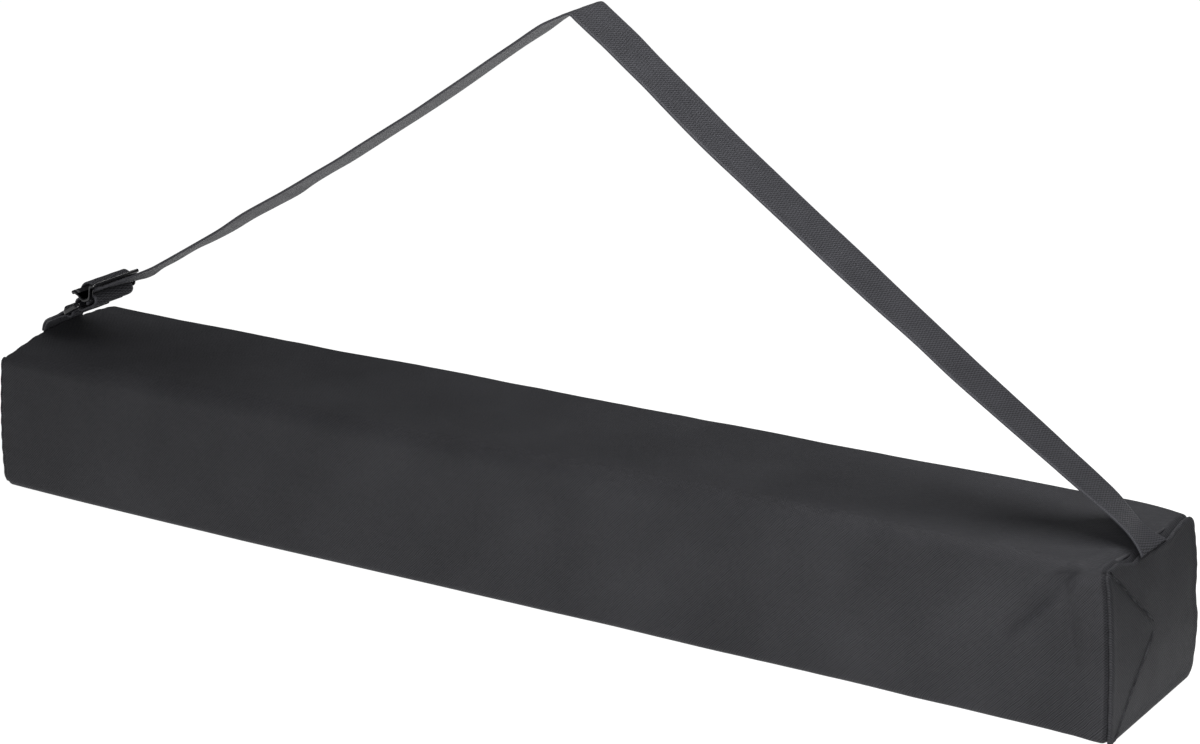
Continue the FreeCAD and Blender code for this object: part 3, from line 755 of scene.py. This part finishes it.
def make_binding(side):
    """Binding tape folded over the two raw edges inside an end seam, and slightly wavy."""
    sign = 1 if side == "right" else -1
    inset, wall, width = 3.4 * MM, 1.1 * MM, 9.4 * MM
    middle = np.array([BAG_MIDDLE, MID_HEIGHT])
    fold = [(0.0, 0.0), (width * 0.5, 0.05 * MM), (width * 0.93, 0.1 * MM), (width, wall / 2)]
    fold += [(width * 0.93, wall - 0.1 * MM), (width * 0.5, wall - 0.05 * MM), (0.0, wall)]
    points, cut = [], []
    scale = np.array([1 - inset / HALF_DEEP, 1 - inset / MID_HEIGHT])
    rim = middle + (END_PLACES[side] - middle) * scale
    for k, (spot, way) in enumerate(zip(rim, WAYS)):
        wave = 0.15 * MM * math.sin(ROUND_IT[k] / (14 * MM) * 2 * math.pi)
        for depth, thick in fold:
            inner = spot - way * (thick + wave * depth / width + 0.2 * MM)
            x = sign * (HALF_LONG - 3.6 * MM - depth)
            x = x + float(lean_out(x, inner[0], inner[1]))
            points.append((x, inner[0], inner[1]))
            cut.append((depth + thick, ROUND_IT[k]))
    count = len(fold)
    faces = sheet_faces(len(rim), count, closed=True)
    last = (len(rim) - 1) * count
    faces += [(last + j, last + (j + 1) % count, (j + 1) % count, j) for j in range(count)]
    name = "seam_tape_" + side
    piece(name, mesh_of(name, points, faces, cut), "binding_tape", "bag", ["seam_binding_" + side])


grid = make_wrap()
make_end_panel("left", grid[0])
make_end_panel("right", grid[-1])
make_binding("left")
make_binding("right")


# The zip


COIL_HALF_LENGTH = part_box("zip_coil_upper")[1][0]
TAPE_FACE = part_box("zip_tape_upper")[1][1]
TAPE_WALL = 0.7 * MM
TOOTH_PITCH = 1.5 * MM


def make_tape(half, sign):
    """A zip tape lying just inside the slot, flat by its coil and a little wavy further out."""
    low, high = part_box("zip_tape_" + half)
    inner, outer = (low[2], high[2]) if sign > 0 else (high[2], low[2])
    lanes = np.linspace(inner, outer, 9)
    rows = np.linspace(low[0], high[0], 331)
    x, z = np.meshgrid(rows, lanes, indexing="ij")
    sway = np.interp(np.abs(z - MID_HEIGHT), [0, 3 * MM, 8 * MM, 20 * MM], [0, 0, 0.25 * MM, 0])
    y = TAPE_FACE - 0.05 * MM + sway * clouds(x, z, z, 30 * MM, 6.0 + sign)
    points = np.stack([x, y, z], axis=-1).reshape(-1, 3)
    cut = np.stack([z, x], axis=-1).reshape(-1, 2)
    faces = sheet_faces(len(rows), len(lanes))
    if sign > 0:
        faces = [face[::-1] for face in faces]
    name = "zip_tape_cloth_" + half
    made = piece(name, mesh_of(name, points, faces, cut), "zip_tape", "bag", ["zip_tape_" + half])
    thicken(made, TAPE_WALL)


def make_coil(half, sign):
    """One side's monofilament coil: a flattened spring whose heads lock with the other side's."""
    wire = 0.31 * MM
    low_y, high_y = TAPE_FACE + 0.34 * MM, TAPE_FACE + 1.38 * MM
    head, root = -0.3 * MM, 2.45 * MM
    turn = [
        (0.00, low_y, root * 0.9),
        (0.06, low_y, root * 0.45),
        (0.12, low_y, head * 0.2),
        (0.22, low_y + 0.3 * MM, head),
        (0.34, high_y - 0.3 * MM, head),
        (0.44, high_y, head * 0.2),
        (0.52, high_y, root * 0.5),
        (0.66, high_y - 0.15 * MM, root),
        (0.84, low_y + 0.2 * MM, root * 1.1),
    ]
    count = int(2 * COIL_HALF_LENGTH / TOOTH_PITCH) - 1
    shift = 0.0 if sign > 0 else 0.5
    spots = []
    for k in range(count):
        for share, y, reach in turn:
            x = -COIL_HALF_LENGTH + 0.6 * MM + (k + share + shift) * TOOTH_PITCH
            spots.append((x, y, MID_HEIGHT + sign * (reach + 0.12 * MM)))
    name = "zip_teeth_" + half
    piece(name, tube(name, spots, wire), "nylon_coil", "bag", ["zip_coil_" + half])


def make_topstitch(half, sign):
    """Lockstitches 3 mm long, each sunk at its ends, through the cloth and the tape."""
    low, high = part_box("zip_topstitch_" + half)
    z = (low[2] + high[2]) / 2
    length, gap, radius = 3.0 * MM, 0.7 * MM, 0.24 * MM
    count = int((high[0] - low[0]) / (length + gap))
    heights = grid[len(grid) // 2, :, 2]
    by_slot = range(12) if sign > 0 else range(SLOT_COLUMN - 12, SLOT_COLUMN)
    column = min(by_slot, key=lambda j: abs(heights[j] - z))
    face_x, face_y = grid[:, column, 0], grid[:, column, 1]
    stitches = []
    # share of the way along a stitch, and its lift in thread radii
    rise = [(0, -0.5), (0.12, 0.2), (0.3, 0.62), (0.5, 0.7), (0.7, 0.62), (0.88, 0.2), (1, -0.5)]
    for k in range(count):
        start = low[0] + k * (length + gap) + gap / 2
        spots = []
        for share, lift in rise:
            x = start + share * length
            y = np.interp(x, face_x, face_y) + lift * radius
            spots.append((x, y, z + 0.05 * MM * math.sin(k * 1.7)))
        stitches.append(tube(f"stitch_{half}_{k}", spots, radius))
    name = "topstitch_" + half
    piece(name, joined(name, stitches), "thread", "bag", ["zip_topstitch_" + half])


def make_stops():
    """Injected stops at both ends of the coils, each a small block with softened edges."""

    def block(name, low, high):
        middle = [(a + b) / 2 for a, b in zip(low, high)]
        wide, tall = high[0] - low[0], high[2] - low[2]
        outline = rounded_outline(wide, tall, 0.7 * MM, 0.6 * MM)
        mesh = plate(name, [outline], high[1] - low[1], 0.45 * MM)
        return placed(mesh, middle, (1, 0, 0), (0, 0, 1), (0, -1, 0))

    low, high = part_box("zip_top_stops")
    split = 0.5 * MM
    upper = block("stop_upper", (low[0], low[1], MID_HEIGHT + split), high)
    lower = block("stop_lower", low, (high[0], high[1], MID_HEIGHT - split))
    pair = joined("zip_stop_pair", [upper, lower])
    piece("zip_stop_pair", pair, "nylon_coil", "bag", ["zip_top_stops"])
    single = block("zip_stop_single", *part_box("zip_bottom_stop"))
    piece("zip_stop_single", single, "nylon_coil", "bag", ["zip_bottom_stop"])


def make_slider():
    """A die-cast slider: shield-shaped plates outside and inside, flanges, and a bridge on top."""
    low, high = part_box("zip_slider")
    middle_x = (low[0] + high[0]) / 2
    long = high[0] - low[0]
    outer_face = BACK + 2.3 * MM

    def shield(scale):
        """An outline that is widest where the coils part."""
        found = []
        for k in range(48):
            angle = 2 * math.pi * k / 48
            x, z = math.cos(angle), math.sin(angle)
            squared = (abs(x) ** 4 + abs(z) ** 4) ** 0.25
            half_tall = (4.5 + 0.7 * x / squared) * MM
            found.append((x / squared * long / 2 * scale, z / squared * half_tall * scale))
        return found

    def dome(points):
        x, z = points[:, 0] / (long / 2), points[:, 1] / (5 * MM)
        points[:, 2] += np.where(points[:, 2] > 0, 0.25 * MM * (1 - x**2) * (1 - 0.6 * z**2), 0)
        return points

    axes = ((1, 0, 0), (0, 0, 1), (0, 1, 0))
    top = plate("slider_top", [shield(1.0)], 1.4 * MM, 0.4 * MM, dome)
    parts = [placed(top, (middle_x, outer_face - 0.7 * MM, MID_HEIGHT), *axes)]
    keel = plate("slider_keel", [shield(0.88)], 1.2 * MM, 0.35 * MM)
    parts.append(placed(keel, (middle_x, BACK - 3.1 * MM, MID_HEIGHT), *axes))
    for sign in (-1, 1):
        outline = rounded_outline(9.4 * MM, 1.5 * MM, 0.6 * MM, 0.8 * MM)
        flange = plate("slider_flange", [outline], 2.2 * MM, 0.3 * MM)
        parts.append(placed(flange, (middle_x, BACK + 0.2 * MM, MID_HEIGHT + sign * 4.2 * MM), *axes))
    outline = rounded_outline(2.4 * MM, 0.5 * MM, 0.2 * MM, 0.8 * MM)
    post = plate("slider_post", [outline], 4.2 * MM, 0.15 * MM)
    parts.append(placed(post, (middle_x + 3.8 * MM, BACK - 0.7 * MM, MID_HEIGHT), *axes))
    spots = []
    for k in range(13):
        angle = math.pi * k / 12
        x = middle_x + 3.5 * MM * math.cos(angle)
        y = outer_face - 0.3 * MM + 3.1 * MM * min(1.0, 1.25 * math.sin(angle))
        spots.append((x, y, MID_HEIGHT))
    parts.append(tube("slider_bridge", spots, 0.62 * MM, 10))
    piece("zip_slider_cast", joined("zip_slider_cast", parts), "zip_metal", "slider", ["zip_slider"])
    return middle_x


def make_pull(eye_x):
    """The pull: a tapered tab with a round hole at its tip and an eye round the bridge."""
    low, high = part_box("zip_pull")
    eye_y = (low[1] + high[1]) / 2
    long = high[0] - low[0]
    tip = -(long - 0.7 * MM)
    half_outline = []
    for share in np.linspace(0, 1, 25):
        x = 0.7 * MM + (tip - 0.7 * MM) * share
        half = np.interp(share, [0, 0.08, 0.22, 0.32, 0.8, 0.94, 1.0], [1.6, 2.6, 2.7, 2.3, 3.9, 3.4, 1.5])
        half_outline.append((x, half * MM))
    outline = half_outline + [(x, -half) for x, half in reversed(half_outline)]
    window = [(-0.75 * MM, 1.2 * MM), (-4.9 * MM, 1.4 * MM), (-4.9 * MM, -1.4 * MM), (-0.75 * MM, -1.2 * MM)]
    hole = []
    for k in range(20):
        angle = 2 * math.pi * k / 20
        hole.append((-20.8 * MM + 1.7 * MM * math.cos(angle), 1.7 * MM * math.sin(angle)))
    mesh = plate("zip_pull_tab", [outline, window, hole], 1.3 * MM, 0.3 * MM)
    parts = [placed(mesh, (eye_x, eye_y, MID_HEIGHT), (1, 0, 0), (0, 0, 1), (0, 1, 0))]
    for k in range(5):
        x = eye_x - (8.8 + 1.9 * k) * MM
        reach = (1.5 + 0.16 * k) * MM
        ridge = [(x, eye_y + 0.62 * MM, MID_HEIGHT + z) for z in np.linspace(-reach, reach, 5)]
        parts.append(tube("pull_ridge", ridge, 0.32 * MM, 8))
    piece("zip_pull_tab", joined("zip_pull_tab", parts), "zip_metal", "pull", ["zip_pull"])


for half, sign in (("upper", 1), ("lower", -1)):
    make_tape(half, sign)
    make_coil(half, sign)
    make_topstitch(half, sign)
make_stops()
make_pull(make_slider())


# The strap. A place on its straight left leg is given along it from the adjuster's middle bar,
# and out from it towards the sky.


LEG = math.radians(28)
LEG_FOOT = np.array([-358.0, 137.3]) * MM


def on_leg(along, out):
    """The (x, z) place, in metres, of a point in millimetres along the leg and out from it."""
    x = LEG_FOOT[0] + (along * math.cos(LEG) - out * math.sin(LEG)) * MM
    z = LEG_FOOT[1] + (along * math.sin(LEG) + out * math.cos(LEG)) * MM
    return x, z


# x, z in millimetres and roll in degrees, from the seam up the right leg to the crown
RIGHT_LEG = [
    (408.6, 94.2, 5), (406.6, 96.4, 8), (402.5, 99.6, 13), (396, 104.8, 16), (389, 110.8, 14.5),
    (381, 117.2, 11.5), (367, 126.9, 9.5), (350, 138.4, 8.6), (339, 145.9, 7.6), (311, 164.7, 6),
    (290, 179, 5), (268, 194.8, 5), (241, 213.5, 3.3), (213, 233.3, 1.7), (185, 253.2, 1.9),
    (157, 273.3, 1.3), (128, 294.3, 0.7), (102, 314.6, 1.1), (90, 324.1, 1.7), (75, 335.6, 1.3),
    (61.6, 346.2, 0.4), (50, 354.5, 0), (42, 360.3, 0), (39, 362.5, 0),
]

# the same from the crown down to where the left leg is straight
LEFT_LEG = [
    (37, 363.3, -0.8), (34.6, 362.9, -1.4), (31, 361.4, -1.8), (24.7, 358.9, -2.4), (17.5, 355.6, -2.8),
    (10, 351, -2.8), (0, 344.2, -2.3), (-20, 331.5, -2.7), (-40, 318.3, -2.5), (-60, 305.1, -1.7),
    (-80, 292.1, -1.4), (-100, 279.7, -0.8), (-124, 265, -0.4),
]

# along, out and roll down the left leg to the adjuster, with its sag
LEG_RUN = [
    (246, 1.5, -0.2), (224, 0.5, 0.7), (212, 0.1, 0.3), (201, -0.3, 0.3), (190, -0.8, 0.9),
    (178, -1.5, 2.7), (155, -1.9, 2.5), (132, -2.9, -0.3), (109, -3.8, 0.1), (86, -4, -1.1),
    (75, -3.9, -2.1), (63, -4.1, -1.8), (52, -4, 0), (37, -3.5, 1.8), (25.5, -3.5, 5.3),
    (15, -2.5, 4.5), (10, -1.3, 3), (5.5, -0.2, 1), (0, 0, 0), (-8.5, 0, 0),
]
BIGHT_CENTRE = (-11.5, -4)


def make_strap():
    """The strap from the right seam over its crown to its turn round the ring."""
    controls = [(x * MM, z * MM, roll) for x, z, roll in RIGHT_LEG + LEFT_LEG]
    controls += [(*on_leg(along, out), roll) for along, out, roll in LEG_RUN]
    for turn in range(9):
        angle = math.pi * (0.5 + turn / 8)
        around = BIGHT_CENTRE[0] + 4 * math.cos(angle)
        controls.append(on_leg(around, BIGHT_CENTRE[1] + 4 * math.sin(angle)))
    mesh, length = webbing_strip("strap", controls, 1.8 * MM)
    strap = piece("shoulder_strap", mesh, "webbing", stands_for=["strap_root", "strap_webbing"])
    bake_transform(strap)
    return length


def make_strap_end(start_along):
    """The strap's end, back from the ring and folded round the adjuster's middle bar."""
    spots = [(-11.5, -8), (-8.5, -8.2), (-4, -8.6), (0, -8.5), (2.6, -7.2), (3.4, -4.9)]
    spots += [(2.4, -2.7), (-0.3, -1.75), (-3.2, -2.6), (-4.6, -4.6), (-5.6, -6.2)]
    controls = [on_leg(*spot) for spot in spots]
    mesh, length = webbing_strip("strap_end", controls, 1.0 * MM, start_along)
    made = piece("strap_end", mesh, "webbing", stands_for=["strap_return", "end_fold"])
    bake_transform(made)


def make_hump():
    """The strap's hump over the adjuster's middle bar, between the two outer bars."""
    spots = [(-10, -0.1), (-9, 0.2), (-7, 2.0), (-4.5, 5.0), (-1, 6.8), (2.5, 6.9), (5.2, 5.2)]
    spots += [(6.8, 2.6), (7.8, 0.9), (9, 0.2), (10.5, -0.1)]
    mesh, length = webbing_strip("strap_hump", [on_leg(*spot) for spot in spots], 1.0 * MM)
    made = piece("strap_hump", mesh, "webbing", "adjuster")


TAB_SLOPE = math.radians(27)
TAB_BAR = (-377.53, 121.87)


def on_tab(along, out):
    """The (x, z) place, in metres, of a point in millimetres along the tab from the ring's bar."""
    x = TAB_BAR[0] + along * math.cos(TAB_SLOPE) - out * math.sin(TAB_SLOPE)
    z = TAB_BAR[1] + along * math.sin(TAB_SLOPE) + out * math.cos(TAB_SLOPE)
    return x * MM, z * MM


def make_tab():
    """The tab: webbing from the left seam round the ring's lower bar, doubled back on itself."""
    hole = 3.5
    # the seam holds it a little to the back of the ring
    aside = (6 * MM, 5.4 * MM, 4 * MM)
    controls = [(-408.6 * MM, 102.4 * MM, 0, aside[0]), (-406.8 * MM, 106.6 * MM, 0, aside[1])]
    controls += [(-403.4 * MM, 110.2 * MM, 0, aside[2]), (*on_tab(-23.5, 1.6), 0, 2.4 * MM)]
    controls += [on_tab(-16.5, 1.2), on_tab(-11, 1.0), on_tab(-6.8, 1.3)]
    for turn in range(9):
        angle = math.radians(150 - 300 * turn / 8)
        controls.append(on_tab(hole * math.cos(angle), hole * math.sin(angle)))
    controls += [on_tab(-6.8, -1.1), on_tab(-11, -0.5), on_tab(-16.5, -0.3)]
    controls += [(*on_tab(-23.5, 0.1), 0, 2.4 * MM), (-402.4 * MM, 108.8 * MM, 0, aside[2])]
    controls += [(-405.4 * MM, 105.2 * MM, 0, aside[1]), (-407.4 * MM, 101.2 * MM, 0, aside[0])]
    mesh, length = webbing_strip("ring_tab", controls, 1.2 * MM)
    made = piece("ring_tab", mesh, "webbing", stands_for=["tab_root", "tab_loop"])
    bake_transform(made)


def make_bartack(name, node, body, place, slope):
    """A bartack: a close zigzag of thread laid across the webbing."""
    width, half_long, pitch = 30 * MM, 1.0 * MM, 0.62 * MM
    count = int(width / pitch)
    spots = []
    for k in range(count + 1):
        side = half_long if k % 2 else -half_long
        spots.append((side, -width / 2 + k * pitch, 0.0))
    mesh = tube(name, spots, 0.27 * MM)
    placed_on_slope(mesh, place, slope)
    piece(name, mesh, "thread", body, [node])


def make_adjuster():
    """The slide adjuster: a moulded frame, its side rails set down to carry the middle bar."""
    pitch, drop = math.radians(20.5), 7.65
    half_long, half_wide, window_half_long, window_half_wide = 11.5, 23.5, 8.1, 19.5
    outer = rounded_outline(2 * half_long * MM, 2 * half_wide * MM, 2.6 * MM, 0.8 * MM)
    inner = rounded_outline(2 * window_half_long * MM, 2 * window_half_wide * MM, 1.3 * MM, 0.8 * MM)

    def set_down(points):
        along = np.abs(points[:, 0]) / MM
        rail = [-drop, -drop, -6.9, -0.9, 0, 0]
        points[:, 2] += np.interp(along, [0, 2.0, 3.4, 6.7, 7.8, 12], rail) * MM
        return points

    frame_mesh = plate("adjuster_frame", [outer, inner[::-1]], 2.6 * MM, 1.0 * MM, set_down)
    reach = window_half_wide + 2
    bar = [(0, y * MM, -drop * MM) for y in np.linspace(-reach, reach, 9)]
    whole = joined("slide_frame", [frame_mesh, tube("adjuster_bar", bar, 1.3 * MM, 16)])
    placed_on_slope(whole, on_leg(0.5, 3.85), pitch)
    piece("slide_frame", whole, "acetal", "adjuster", ["slide_adjuster"])


strap_length = make_strap()
make_strap_end(strap_length)
make_hump()
make_tab()
make_bartack("tab_stitching", "tab_bartack", "strap", on_tab(-8.1, 1.95), TAB_SLOPE)
make_bartack("fold_stitching", "fold_bartack", "adjuster", on_leg(-5.6, -9.2), LEG)
make_adjuster()

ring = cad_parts["strap_ring"]
ring.data.materials.clear()
ring.data.materials.append(FINISHES["acetal"])
ring.data.polygons.foreach_set("use_smooth", [True] * len(ring.data.polygons))


# The studio


def lay(name, material, low, high, level):
    """A flat sheet of the studio between two corners, at this level."""
    corners = [(*low, 0), (high[0], low[1], 0), (*high, 0), (low[0], high[1], 0)]
    sheet = bpy.data.objects.new(name, mesh_of(name, corners, [(0, 1, 2, 3)]))
    sheet.location.z = level
    sheet.data.materials.append(material)
    bpy.context.scene.collection.objects.link(sheet)


def make_floor():
    """A grey sheet, lit from below like a light table, so that it lifts the bag's lower faces."""
    material, tree, shader = finish_of("pale_sweep_painted", Roughness=0.7)
    place = add(tree, "ShaderNodeTexCoord").outputs["Object"]
    colour_by(tree, shader, blotches(tree, place, 0.4), "#757575", "#7a7a7a")
    shader.inputs["Emission Color"].default_value = linear("#ffffff")
    shader.inputs["Emission Strength"].default_value = 0.98
    lay("floor", material, (-9.0, -9.0), (9.0, 9.0), -0.2 * MM)


def make_dark_card():
    """A black card laid beside the right end, out of the frame: it keeps that end darker."""
    material = finish_of("dark_card_painted", Roughness=0.8, Base_Color=linear("#0c0c0c"))[0]
    lay("dark_card", material, (0.48, -0.35), (2.0, 1.5), 0.5 * MM)


def make_light(name, place, target, size, power):
    """A softbox of this size in metres and power in watts, turned to its target."""
    light = bpy.data.lights.new(name, "AREA")
    light.shape = "RECTANGLE"
    light.size, light.size_y = size
    light.energy = power
    holder = bpy.data.objects.new(name, light)
    holder.location = place
    holder.rotation_euler = (Vector(target) - Vector(place)).to_track_quat("-Z", "Y").to_euler()
    bpy.context.scene.collection.objects.link(holder)


def make_camera():
    """Looks down the front from beyond the right end."""
    azimuth, elevation, roll = (math.radians(a) for a in (34.0, 17.4, -1.27))
    level = math.cos(elevation)
    back = Vector((math.sin(azimuth) * level, -math.cos(azimuth) * level, math.sin(elevation)))
    right = (-back).cross(Vector((0, 0, 1))).normalized()
    up = right.cross(-back)
    turned_right = math.cos(roll) * right + math.sin(roll) * up
    turned_up = -math.sin(roll) * right + math.cos(roll) * up
    camera = bpy.data.cameras.new("camera")
    camera.sensor_width = 36.0
    camera.lens = 97.1
    holder = bpy.data.objects.new("camera", camera)
    turn = Matrix((turned_right, turned_up, back)).transposed().to_4x4()
    holder.matrix_world = Matrix.Translation((1.094, -1.56285, 0.729)) @ turn
    bpy.context.scene.collection.objects.link(holder)
    bpy.context.scene.camera = holder


make_floor()
make_dark_card()
make_light("front_softbox", (0.72, -1.0, 0.4), (0.28, 0, 0.04), (0.7, 0.45), 11)
make_light("overhead_softbox", (0.4, 0.02, 0.9), (0.2, 0, 0.1), (0.7, 0.5), 9)
make_light("back_strip", (-0.5, 1.9, 1.95), (-0.36, 0, 0.14), (1.1, 0.14), 2.5)

world = bpy.data.worlds.new("studio")
world.use_nodes = True
world.node_tree.nodes["Background"].inputs["Color"].default_value = linear("#f4f5f7")
world.node_tree.nodes["Background"].inputs["Strength"].default_value = 0.12
bpy.context.scene.world = world
bpy.context.scene.view_settings.view_transform = "Standard"
make_camera()
